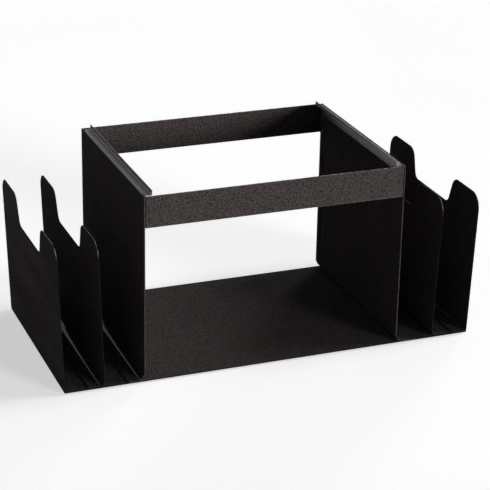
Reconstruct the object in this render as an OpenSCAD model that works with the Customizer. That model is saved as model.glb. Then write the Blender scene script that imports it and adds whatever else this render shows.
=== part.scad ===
// Desktop file holder in folded sheet steel: a hanging-file bay with two folder slots on each side.
// X runs along the length, the front is -Y and Z is up. The origin is on the desk, under the middle.

/* [Hanging bay] */
// Outer width across the two bay walls
bay_w = 338; // [325:1:420]
// Height of the bay walls above the underside of the base
bay_h = 240; // [210:1:300]
// Depth of the whole holder from front to back
depth = 260; // [220:1:340]
// Height of the front and rear bands
band_h = 40; // [25:1:60]
// Length of the tabs at the ends of the bands
band_tab = 10; // [8:0.5:16]

/* [Uprights beside the bay] */
// Spacing of the uprights, measured at the underside of the base
slot_pitch = 50; // [45:1:90]
// Height of the uprights above the underside of the base, measured along the sheet
upright_h = 188; // [150:1:205]
// Outward lean of the uprights in degrees
upright_lean = 2; // [0:0.5:4]
// Radius of the two top corners of an upright
corner_r = 20; // [8:1:30]

/* [Finger notch] */
// Width of the notch at its floor, between the unrounded corners
notch_floor_w = 95; // [60:1:110]
// Width of the notch at the top edge, between the unrounded corners
notch_top_w = 118; // [112:1:130]
// Depth of the notch below the top edge
notch_depth = 37.5; // [30:0.5:60]
// Radius in the floor corners of the notch
notch_floor_r = 10; // [3:1:15]
// Radius where the notch runs out into the top edge
notch_top_r = 15; // [3:1:18]

/* [Hanging rails] */
// Distance from the outside of a bay wall to the folder side of the rail lip
rail_inset = 12; // [9:0.5:18]
// Height of the rail lip above the tops of the walls
rail_lip_h = 5.5; // [4:0.5:9]
// Height of the rail leg that is welded to the wall
rail_leg_h = 14; // [8:1:30]
// Gap between the ends of a rail and the bands
rail_end_gap = 3; // [1:0.5:8]

/* [Sheet steel] */
// Thickness of the sheet
sheet = 1; // [0.7:0.1:1.5]
// Inside radius of the foot bends on the dividers and the bay walls
foot_bend_r = 8; // [3:0.5:10]
// Inside radius of all the other bends
tight_bend_r = 1; // [0.5:0.1:1.5]
// Width of the feet that are welded to the base
foot_w = 20; // [16:1:22]
// Width of the hems along the front and rear edges of the bay walls
hem_w = 10; // [5:0.5:16]
// Gap left at the rail ends where they pass the hems and the tabs
fit_gap = 0.3; // [0.1:0.1:0.5]

/* [Rubber feet] */
// Diameter of a rubber foot
pad_d = 16; // [10:1:26]
// Thickness of a rubber foot
pad_h = 2; // [1.5:0.5:6]
// Chamfer round the bottom of a rubber foot
pad_chamfer = 0.5; // [0.2:0.1:1]
// Distance from the edges of the base to the middle of a rubber foot
pad_inset = 18; // [14:1:40]

/* [Hidden] */
$fn = 64;

coat_colour = [0.11, 0.105, 0.105];
band_colour = [0.17, 0.165, 0.165];
rubber_colour = [0.06, 0.06, 0.06];

// Sides of the holder, and the two ways in which the foot of an upright can be turned
LEFT = -1;
RIGHT = 1;
FRONT = -1;
REAR = 1;
OUTWARD = 1;
INWARD = -1;

// Outer faces of the uprights at the underside of the base, measured from the middle
wall_x = bay_w / 2;
divider_x = wall_x + slot_pitch;
end_x = divider_x + slot_pitch;
half_depth = depth / 2;

// The lean, moved to the nearest angle whose cosine has six decimals. The solids are made from numbers
// of six digits, and with such an angle the flats of the uprights run into their bends without a step.
cosine_steps = 1000000;
built_lean = acos(round(cos(upright_lean) * cosine_steps) / cosine_steps);

// Heights above the desk
base_under = pad_h;
base_top = base_under + sheet;
wall_top = base_under + bay_h;

// The hems are two sheets thick, and the tabs of the bands lie against them
hem_face_x = wall_x - 2 * sheet;
tab_face_x = hem_face_x - sheet;

// How far cutting shapes run on past the sheet that they cut
overrun = 2 * sheet;
// Arcs run this far past the straight edges that they round, so that the two cross cleanly
arc_overlap = 0.003;

function unit(v) = v / norm(v);

// Everything is drawn for the right-hand side and mirrored to the left
module on_side(side) {
    if (side == RIGHT) children();
    else mirror([1, 0, 0]) children();
}

// A flat figure and its mirror image
module both_ways() {
    for (flip = [0, 1])
        mirror([flip, 0])
            children();
}

// A section drawn in X and Z, carried through along Y
module along_depth(length) {
    rotate([90, 0, 0])
        linear_extrude(length, center = true)
            children();
}

// Ring from which the bends are cut
module bend_ring(inside_r) {
    difference() {
        circle(inside_r + sheet);
        circle(inside_r);
    }
}

// Quarter of that ring, from a starting angle round to the left
module quarter_bend(inside_r, from_angle) {
    intersection() {
        bend_ring(inside_r);
        rotate(from_angle)
            square(2 * (inside_r + sheet));
    }
}

// What lies between a sharp corner at the origin and the arc that rounds it. The two edges leave the
// corner in the directions a and b.
module corner_sliver(radius, a, b) {
    half_angle = acos(a * b) / 2;
    tangent = radius / tan(half_angle);
    middle = unit(a + b) * radius / sin(half_angle);
    difference() {
        polygon([-overrun * unit(a + b), tangent * a, middle, tangent * b]);
        translate(middle)
            circle(radius + arc_overlap);
    }
}

// Section of an upright with its foot on the base. Its outer face meets the underside of the base at x.
module upright_section(x, height, lean, foot_side, bend_r) {
    outside_r = bend_r + sheet;
    reach = 2 * outside_r;
    // Middle of the foot bend, and where the flat of the upright starts, measured along the sheet
    middle_rise = 2 * sheet + bend_r;
    middle_out = foot_side == OUTWARD ? bend_r : -outside_r;
    middle_x = x + (middle_rise * sin(lean) + middle_out) / cos(lean);
    flat_start = (middle_x - x) * sin(lean) + middle_rise * cos(lean);
    foot_flat = foot_w - foot_side * (middle_x - x);

    translate([middle_x, base_under + middle_rise])
        mirror([foot_side == OUTWARD ? 0 : 1, 0]) {
            translate([0, -outside_r])
                square([foot_flat, sheet]);
            intersection() {
                bend_ring(bend_r);
                translate([-reach, -reach])
                    square([reach, 2 * reach]);
                rotate(-foot_side * lean)
                    translate([-reach, -reach])
                        square([2 * reach, reach]);
            }
            rotate(-foot_side * lean)
                translate([-outside_r, 0])
                    square([sheet, height - flat_start]);
        }
}

// Finger notch, drawn with the top edge of the upright along Y = 0
module finger_notch() {
    floor_corner = [notch_floor_w / 2, -notch_depth];
    top_corner = [notch_top_w / 2, 0];
    side = unit(top_corner - floor_corner);
    difference() {
        polygon([
            [-top_corner.x, overrun], [-top_corner.x, 0], [-floor_corner.x, floor_corner.y],
            floor_corner, top_corner, [top_corner.x, overrun]
        ]);
        both_ways()
            translate(floor_corner)
                corner_sliver(notch_floor_r, [-1, 0], side);
    }
    both_ways()
        translate(top_corner)
            corner_sliver(notch_top_r, [1, 0], -side);
}

// Everything that is cut from the top of an upright
module upright_top_cut() {
    finger_notch();
    both_ways()
        translate([half_depth, 0])
            corner_sliver(corner_r, [-1, 0], [0, -1]);
}

// Notched upright: an end panel or a divider
module upright(x, foot_side, bend_r) {
    difference() {
        along_depth(depth)
            upright_section(x, upright_h, built_lean, foot_side, bend_r);
        translate([x, 0, base_under])
            rotate([0, built_lean, 0])
                translate([0, 0, upright_h])
                    rotate([90, 0, 90])
                        linear_extrude(2 * overrun, center = true)
                            upright_top_cut();
    }
}

module base_plate() {
    color(coat_colour)
        translate([-end_x, -half_depth, base_under])
            cube([2 * end_x, depth, sheet]);
}

module end_panel(side) {
    color(coat_colour)
        on_side(side)
            upright(end_x, INWARD, tight_bend_r);
}

module divider(side) {
    color(coat_colour)
        on_side(side)
            upright(divider_x, OUTWARD, foot_bend_r);
}

// Plan of the hem at the rear edge of a bay wall: the edge is folded flat against the inner face
module hem_plan() {
    nose_y = half_depth - sheet;
    intersection() {
        translate([wall_x - sheet, nose_y])
            circle(sheet);
        translate([hem_face_x, nose_y])
            square([2 * sheet, sheet]);
    }
    translate([hem_face_x, half_depth - hem_w])
        square([sheet, hem_w - sheet]);
}

module bay_wall(side) {
    hem_bottom = base_top + sheet + foot_bend_r;
    color(coat_colour)
        on_side(side) {
            along_depth(depth - 2 * sheet)
                upright_section(wall_x, bay_h, 0, OUTWARD, foot_bend_r);
            for (flip = [0, 1])
                mirror([0, flip, 0])
                    translate([0, 0, hem_bottom])
                        linear_extrude(wall_top - hem_bottom)
                            hem_plan();
        }
}

// Plan of the rear band: a face and two tabs, which lie against the hems of the walls
module band_plan() {
    middle_x = tab_face_x - tight_bend_r;
    middle_y = half_depth - sheet - tight_bend_r;
    tab_end_y = half_depth - band_tab;
    translate([-middle_x, half_depth - sheet])
        square([2 * middle_x, sheet]);
    both_ways() {
        translate([middle_x, middle_y])
            quarter_bend(tight_bend_r, 0);
        translate([tab_face_x, tab_end_y])
            square([sheet, middle_y - tab_end_y]);
    }
}

module band(end) {
    color(band_colour)
        mirror([0, end == FRONT ? 1 : 0, 0])
            translate([0, 0, wall_top - band_h])
                linear_extrude(band_h)
                    band_plan();
}

// Section of a hanging rail: a leg against the wall, a shelf level with the wall's top, and a lip
module rail_section() {
    outside_r = tight_bend_r + sheet;
    leg_face_x = wall_x - 2 * sheet;
    lip_face_x = wall_x - rail_inset;
    leg_bend = [leg_face_x - tight_bend_r, wall_top - outside_r];
    lip_bend = [lip_face_x + outside_r, wall_top + tight_bend_r];

    translate([leg_face_x, wall_top - rail_leg_h])
        square([sheet, rail_leg_h - outside_r]);
    translate(leg_bend)
        quarter_bend(tight_bend_r, 0);
    translate([lip_bend.x, wall_top - sheet])
        square([leg_bend.x - lip_bend.x, sheet]);
    translate(lip_bend)
        quarter_bend(tight_bend_r, 180);
    translate([lip_face_x, lip_bend.y])
        square([sheet, rail_lip_h - tight_bend_r]);
}

module hanging_rail(side) {
    length = depth - 2 * (sheet + rail_end_gap);
    notch_y = half_depth - max(hem_w, band_tab) - fit_gap;
    notch_x = tab_face_x - fit_gap;
    color(coat_colour)
        on_side(side)
            difference() {
                along_depth(length)
                    rail_section();
                // The ends are cut back to pass the hems and the tabs of the bands
                for (flip = [0, 1])
                    mirror([0, flip, 0])
                        translate([notch_x, notch_y, wall_top - rail_leg_h - overrun])
                            cube([wall_x - notch_x, half_depth - notch_y, rail_leg_h + 2 * overrun]);
            }
}

module foot(end, side) {
    pad_r = pad_d / 2;
    color(rubber_colour)
        translate([side * (end_x - pad_inset), end * (half_depth - pad_inset), 0])
            rotate_extrude()
                polygon([
                    [0, 0], [pad_r - pad_chamfer, 0], [pad_r, pad_chamfer], [pad_r, pad_h], [0, pad_h]
                ]);
}

base_plate();
end_panel(LEFT);  // left_end_panel
end_panel(RIGHT);  // right_end_panel
divider(LEFT);  // left_divider
divider(RIGHT);  // right_divider
bay_wall(LEFT);  // left_bay_wall
bay_wall(RIGHT);  // right_bay_wall
band(FRONT);  // front_band
band(REAR);  // rear_band
hanging_rail(LEFT);  // left_hanging_rail
hanging_rail(RIGHT);  // right_hanging_rail
foot(FRONT, LEFT);  // foot_front_left
foot(FRONT, RIGHT);  // foot_front_right
foot(REAR, LEFT);  // foot_rear_left
foot(REAR, RIGHT);  // foot_rear_right
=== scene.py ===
import math

import bpy
from mathutils import Matrix, Vector

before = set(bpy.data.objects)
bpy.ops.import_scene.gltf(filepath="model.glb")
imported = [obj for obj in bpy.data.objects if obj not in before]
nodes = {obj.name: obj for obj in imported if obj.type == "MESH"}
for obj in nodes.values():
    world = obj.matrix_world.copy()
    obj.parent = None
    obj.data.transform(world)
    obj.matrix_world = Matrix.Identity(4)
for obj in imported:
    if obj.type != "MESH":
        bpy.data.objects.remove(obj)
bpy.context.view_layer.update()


# Base plate: one flat sheet of 1 mm steel, sheared to size, with the feet of all the uprights welded on.
# The welded holder is powder-coated black with a fine sandy grain, so every sheet has the same coat. It
# is drawn smooth and shiny over the bends. Its high cut edges are painted light, partly worn by hands and
# partly a painted highlight, and its low ones are painted near black as painted shade.
# The grain's colour holds painted shade in the gaps between its bumps and painted light on their tops, over
# the coat's own black speck.
coat_black_and_gap_shade = (0.0170, 0.0145, 0.0141, 1)
coat_speck_and_bump_light = (0.1230, 0.1048, 0.1016, 1)
coat_gloss = 0.03
coat_roughness = 0.92
grain_size = 0.0010
grain_height = 0.00012
grain_top = 0.20
grain_foot = 0.685
flow_size = 0.014
flow_height = 0.0001
rub_size = 0.045
# A face counts as a bend from the first angle off level or upright, and fully from the second
bend_starts = math.radians(12)
bend_full = math.radians(22)
bend_middle = math.radians(45)
bend_grain = 0.10
bend_shine = 0.40
bend_roughness = 0.10
noise_low = 0.3
noise_high = 0.7
# The patterns are turned off the axes, so that no flat of the holder cuts one along its own grid
pattern_turn = (0.6, 0.4, 0.9)


def new_material(name, gloss):
    """A new material with this gloss, with its node tree and its shader."""
    material = bpy.data.materials.new(name)
    material.use_nodes = True
    shader = material.node_tree.nodes["Principled BSDF"]
    shader.inputs["Specular IOR Level"].default_value = gloss
    return material, material.node_tree, shader


def give(tree, socket, amount):
    """Feeds a socket from another node's output, or sets it to a plain number."""
    if isinstance(amount, bpy.types.NodeSocket):
        tree.links.new(amount, socket)
    else:
        socket.default_value = amount


def lay_out(tree, kind, size, stretch=(1, 1, 1)):
    """A pattern with features of this size in metres, drawn out along each axis by the stretch."""
    place = tree.nodes.new("ShaderNodeTexCoord")
    mapping = tree.nodes.new("ShaderNodeMapping")
    mapping.inputs["Scale"].default_value = [1 / (size * s) for s in stretch]
    mapping.inputs["Rotation"].default_value = pattern_turn
    pattern = tree.nodes.new(kind)
    pattern.inputs["Scale"].default_value = 1
    tree.links.new(place.outputs["Object"], mapping.inputs["Vector"])
    tree.links.new(mapping.outputs["Vector"], pattern.inputs["Vector"])
    return pattern


def noise(tree, size, detail, stretch=(1, 1, 1)):
    """A cloudy pattern with this many steps of finer detail."""
    clouds = lay_out(tree, "ShaderNodeTexNoise", size, stretch)
    clouds.inputs["Detail"].default_value = detail
    return clouds.outputs["Fac"]


def tint(tree, pattern, dark, light, start=noise_low, end=noise_high):
    """A colour that goes from dark to light as the pattern goes from start to end."""
    ramp = tree.nodes.new("ShaderNodeValToRGB")
    for stop, position, colour in zip(ramp.color_ramp.elements, (start, end), (dark, light)):
        stop.position = position
        stop.color = colour
    tree.links.new(pattern, ramp.inputs["Fac"])
    return ramp.outputs["Color"]


def remap(tree, value, low, high, start=noise_low, end=noise_high):
    """A value that goes from low to high as another goes from start to end."""
    reach = tree.nodes.new("ShaderNodeMapRange")
    amounts = {"Value": value, "From Min": start, "From Max": end, "To Min": low, "To Max": high}
    for name, amount in amounts.items():
        give(tree, reach.inputs[name], amount)
    return reach.outputs["Result"]


def calculate(tree, operation, *amounts):
    """One step of arithmetic on one or two amounts."""
    working = tree.nodes.new("ShaderNodeMath")
    working.operation = operation
    for socket, amount in zip(working.inputs, amounts):
        give(tree, socket, amount)
    return working.outputs["Value"]


def coat_grain(tree):
    """The sandy grain of the coat: 1 on the tops of its small bumps, and 0 in the gaps between them."""
    bumps = lay_out(tree, "ShaderNodeTexVoronoi", grain_size)
    return remap(tree, bumps.outputs["Distance"], 1, 0, grain_top, grain_foot)


def part_of(tree, vector, axis):
    """One of the three numbers of a vector."""
    split = tree.nodes.new("ShaderNodeSeparateXYZ")
    tree.links.new(vector, split.inputs["Vector"])
    return split.outputs[axis]


def along_bends(tree, on_flats, on_bends):
    """One value on the flats, level or upright, and another on the bends between them."""
    face = tree.nodes.new("ShaderNodeNewGeometry")
    slope = calculate(tree, "ARCCOSINE", part_of(tree, face.outputs["Normal"], "Z"))
    turn = calculate(tree, "PINGPONG", slope, bend_middle)
    return remap(tree, turn, on_flats, on_bends, bend_starts, bend_full)


def raise_surface(tree, *layers, strength=None):
    """A surface with bumps stacked on it. Each layer is a pattern and its height in metres."""
    surface = None
    for pattern, height in layers:
        bump = tree.nodes.new("ShaderNodeBump")
        bump.inputs["Distance"].default_value = height
        tree.links.new(pattern, bump.inputs["Height"])
        if strength:
            tree.links.new(strength, bump.inputs["Strength"])
        if surface:
            tree.links.new(surface, bump.inputs["Normal"])
        surface = bump.outputs["Normal"]
    return surface


def powder_coat(name, rub_stretch, rub_depth, roughness=coat_roughness, gloss=coat_gloss):
    """Black powder coat, rubbed in streaks along the longest stretch, smooth and shiny over the bends."""
    coat, tree, shader = new_material(name, gloss)
    grain = coat_grain(tree)
    flow = noise(tree, flow_size, detail=1)
    rub = noise(tree, rub_size, detail=3, stretch=rub_stretch)
    rubbed = remap(tree, rub, roughness - rub_depth, roughness + rub_depth)
    grain_left = along_bends(tree, 1, bend_grain)
    surface = raise_surface(tree, (flow, flow_height), (grain, grain_height), strength=grain_left)
    # The colour is painted darker in the gaps between the bumps as shade, and lighter on their tops as
    # light.
    tree.links.new(tint(tree, grain, coat_black_and_gap_shade, coat_speck_and_bump_light, 0, 1), shader.inputs["Base Color"])
    tree.links.new(rubbed, shader.inputs["Roughness"])
    tree.links.new(along_bends(tree, 0, bend_shine), shader.inputs["Coat Weight"])
    shader.inputs["Coat Roughness"].default_value = bend_roughness
    tree.links.new(surface, shader.inputs["Normal"])
    return coat


# The coat is thinner on the cut edges. Low down they are painted near black as painted shade. High up they
# are painted light, partly worn by the hands that reach them and partly a painted highlight.
edge_black_painted_shade = (0.0040, 0.0036, 0.0036, 1)
edge_worn_and_painted_highlight = (0.390, 0.354, 0.348, 1)
edge_gloss = 0.03
edge_roughness = (0.60, 0.42)
edge_grain_height = 0.00003
wear_size = 0.005
wear_and_highlight_from = 0.150
wear_and_highlight_full_at = 0.185

edge_coat, edge_tree, edge_shader = new_material("powder_coat_on_cut_edges", edge_gloss)
edge_place = edge_tree.nodes.new("ShaderNodeTexCoord")
edge_above_desk = part_of(edge_tree, edge_place.outputs["Object"], "Z")
# From these heights up, the cut edges are painted lighter, partly as worn coat and partly as a painted
# highlight. Below them they stay near black as painted shade.
high_edge_wear_and_highlight = remap(edge_tree, edge_above_desk, 0, 1, wear_and_highlight_from, wear_and_highlight_full_at)
edge_wear_and_highlight = calculate(edge_tree, "MULTIPLY", noise(edge_tree, wear_size, detail=2), high_edge_wear_and_highlight)
edge_surface = raise_surface(edge_tree, (coat_grain(edge_tree), edge_grain_height))
edge_tree.links.new(tint(edge_tree, edge_wear_and_highlight, edge_black_painted_shade, edge_worn_and_painted_highlight), edge_shader.inputs["Base Color"])
edge_tree.links.new(remap(edge_tree, edge_wear_and_highlight, *edge_roughness), edge_shader.inputs["Roughness"])
edge_tree.links.new(edge_surface, edge_shader.inputs["Normal"])

edge_radius = 0.00045
edge_steps = 3
edge_sharper_than = math.radians(35)
flat_within = math.radians(0.5)
same_point_within = 1e-6


def round_edges(piece, radius, segments):
    """Rounds the sharp edges of a piece with its last material, and leaves bends and flats as they are."""
    joined = piece.modifiers.new("joined_faces", "WELD")
    joined.merge_threshold = same_point_within
    flats = piece.modifiers.new("whole_flats", "DECIMATE")
    flats.decimate_type = "DISSOLVE"
    flats.angle_limit = flat_within
    rounding = piece.modifiers.new("rounded_edges", "BEVEL")
    rounding.width = radius
    rounding.segments = segments
    rounding.limit_method = "ANGLE"
    rounding.angle_limit = edge_sharper_than
    rounding.loop_slide = False
    rounding.material = len(piece.data.materials) - 1
    shading = piece.modifiers.new("shading", "WEIGHTED_NORMAL")
    shading.keep_sharp = True


def coat_sheet(name, coat):
    """Gives a steel sheet its coat, with the thinner coat on its cut edges, which carries painted shade low
    down and painted highlight high up.
    """
    sheet = nodes[name]
    sheet.material_slots[0].material = coat
    sheet.data.materials.append(edge_coat)
    round_edges(sheet, edge_radius, edge_steps)


coat_sheet("base_plate", powder_coat("base_coat", rub_stretch=(0.5, 4, 1), rub_depth=0.07))


# Bay walls: a tall sheet on each side of the hanging bay, with its foot bent outward and welded to the
# base. The front and rear edges are folded back on themselves, so that no raw edge is left to touch.
wall_coat = powder_coat("wall_coat", rub_stretch=(1, 1, 1), rub_depth=0.04)
for side in ("left", "right"):
    coat_sheet(f"{side}_bay_wall", wall_coat)


# Bands: a strip across the front of the bay and another across the rear. Their ends are bent into tabs
# that are welded to the folded edges of the walls, which keeps the walls upright and apart.
band_coat = powder_coat("band_coat", rub_stretch=(3, 1, 1), rub_depth=0.04)
for end in ("front", "rear"):
    coat_sheet(f"{end}_band", band_coat)


# Hanging rails: a strip bent to a step along the top of each wall. Its leg is welded inside the wall, its
# shelf lies level with the wall's top, and its lip carries the load, which burnishes the coat along it.
rail_coat = powder_coat("rail_coat", rub_stretch=(1, 5, 1), rub_depth=0.10, roughness=0.50, gloss=0.50)
for side in ("left", "right"):
    coat_sheet(f"{side}_hanging_rail", rail_coat)


# Dividers and end panels: notched uprights that lean outward a little, each with a foot that is bent and
# welded to the base. What slides in and out of the slots rubs their coat in streaks from front to back.
upright_coat = powder_coat("upright_coat", rub_stretch=(1, 5, 0.6), rub_depth=0.08)
for side in ("left", "right"):
    coat_sheet(f"{side}_divider", upright_coat)
    coat_sheet(f"{side}_end_panel", upright_coat)


# Feet: four round pads of black rubber, moulded with a chamfered rim and glued under the corners of the
# base. They keep the steel off the desk and stop the holder from sliding.
rubber_black = (0.014, 0.014, 0.014, 1)
rubber_grey = (0.028, 0.027, 0.026, 1)
rubber_gloss = 0.3
rubber_roughness = (0.70, 0.86)
rubber_grain = 0.0006
rubber_height = 0.00004
rubber_patch = 0.006
pad_edge_radius = 0.0002
pad_edge_steps = 2

rubber, rubber_tree, rubber_shader = new_material("foot_rubber_matt", rubber_gloss)
skin = noise(rubber_tree, rubber_grain, detail=3)
patches = noise(rubber_tree, rubber_patch, detail=2)
rubber_surface = raise_surface(rubber_tree, (skin, rubber_height))
rubber_colour = tint(rubber_tree, skin, rubber_black, rubber_grey)
rubber_tree.links.new(rubber_colour, rubber_shader.inputs["Base Color"])
rubber_tree.links.new(remap(rubber_tree, patches, *rubber_roughness), rubber_shader.inputs["Roughness"])
rubber_tree.links.new(rubber_surface, rubber_shader.inputs["Normal"])
for corner in ("front_left", "front_right", "rear_left", "rear_right"):
    pad = nodes[f"foot_{corner}"]
    pad.material_slots[0].material = rubber
    round_edges(pad, pad_edge_radius, pad_edge_steps)


# Studio floor: a wide pale sheet of paper that the holder stands on, with the holder's shadow on it. It is
# white to the eye and in reflections, and throws back only a part of the light, as a cleared studio does.
floor_reach = 40
floor_white = (0.95, 0.95, 0.95, 1)
floor_shade = (0.92, 0.92, 0.92, 1)
floor_mottle = 0.5
floor_throw = 0.22
floor_glow = 0.555


def when_seen(tree, otherwise, seen):
    """One value for rays that show a thing to the eye, also in reflections, and another for the rest."""
    ray = tree.nodes.new("ShaderNodeLightPath")
    shown = ray.outputs["Is Camera Ray"]
    for kind in ("Is Glossy Ray", "Is Transmission Ray"):
        shown = calculate(tree, "MAXIMUM", shown, ray.outputs[kind])
    return remap(tree, shown, otherwise, seen, 0, 1)


floor_mesh = bpy.data.meshes.new("studio_floor")
floor_corners = [(x * floor_reach, y * floor_reach, 0) for x, y in ((-1, -1), (1, -1), (1, 1), (-1, 1))]
floor_mesh.from_pydata(floor_corners, [], [(0, 1, 2, 3)])
floor = bpy.data.objects.new("studio_floor", floor_mesh)
bpy.context.scene.collection.objects.link(floor)
paper, paper_tree, paper_shader = new_material("floor_paper", gloss=0)
share = paper_tree.nodes.new("ShaderNodeVectorMath")
share.operation = "SCALE"
paper_colour = tint(paper_tree, noise(paper_tree, floor_mottle, detail=2), floor_shade, floor_white)
paper_tree.links.new(paper_colour, share.inputs["Vector"])
paper_tree.links.new(when_seen(paper_tree, floor_throw, 1), share.inputs["Scale"])
paper_tree.links.new(share.outputs["Vector"], paper_shader.inputs["Base Color"])
paper_shader.inputs["Emission Color"].default_value = (1, 1, 1, 1)
paper_tree.links.new(when_seen(paper_tree, 0, floor_glow), paper_shader.inputs["Emission Strength"])
floor_mesh.materials.append(paper)


# Light: a soft lamp high on the right, a low one at the front that lights the band, and a low one behind on
# the right that lights the back. The white surround shows behind the holder and in its smooth bends, and
# lights the shaded faces weakly.
surround_fill = 0.05


def soft_sun(name, azimuth, elevation, strength, spread):
    """A broad lamp far away. Azimuth 0 is in front of the holder and 90 is on its right, in degrees."""
    lamp = bpy.data.lights.new(name, "SUN")
    lamp.energy = strength
    lamp.angle = math.radians(spread)
    light = bpy.data.objects.new(name, lamp)
    turn = Matrix.Rotation(math.radians(azimuth), 4, "Z")
    light.matrix_world = turn @ Matrix.Rotation(math.radians(90 - elevation), 4, "X")
    bpy.context.scene.collection.objects.link(light)


soft_sun("high_light", azimuth=88, elevation=52, strength=1.0, spread=24)
soft_sun("front_light", azimuth=30, elevation=4, strength=4.0, spread=20)
soft_sun("rear_light", azimuth=135, elevation=6, strength=1.5, spread=20)

world = bpy.data.worlds.new("studio")
world.use_nodes = True
surround = world.node_tree.nodes["Background"]
surround.inputs["Color"].default_value = (1, 1, 1, 1)
world.node_tree.links.new(when_seen(world.node_tree, surround_fill, 1), surround.inputs["Strength"])
bpy.context.scene.world = world


# Camera: a long lens from the front left, looking down on the holder.
camera_azimuth = -21.4
camera_elevation = 22.5
camera_roll = 1.1
camera_distance = 2.305
camera_aim = Vector((0.007, -0.007, 0.110))
sensor_width_mm = 36
focal_length_mm = 132

lens = bpy.data.cameras.new("camera")
lens.sensor_width = sensor_width_mm
lens.lens = focal_length_mm
camera = bpy.data.objects.new("camera", lens)
swing = Matrix.Rotation(math.radians(camera_azimuth), 4, "Z")
tilt = Matrix.Rotation(math.radians(90 - camera_elevation), 4, "X")
roll = Matrix.Rotation(math.radians(camera_roll), 4, "Z")
stand_off = Matrix.Translation((0, 0, camera_distance))
camera.matrix_world = Matrix.Translation(camera_aim) @ swing @ tilt @ roll @ stand_off
bpy.context.scene.collection.objects.link(camera)
bpy.context.scene.camera = camera
bpy.context.scene.view_settings.view_transform = "Standard"
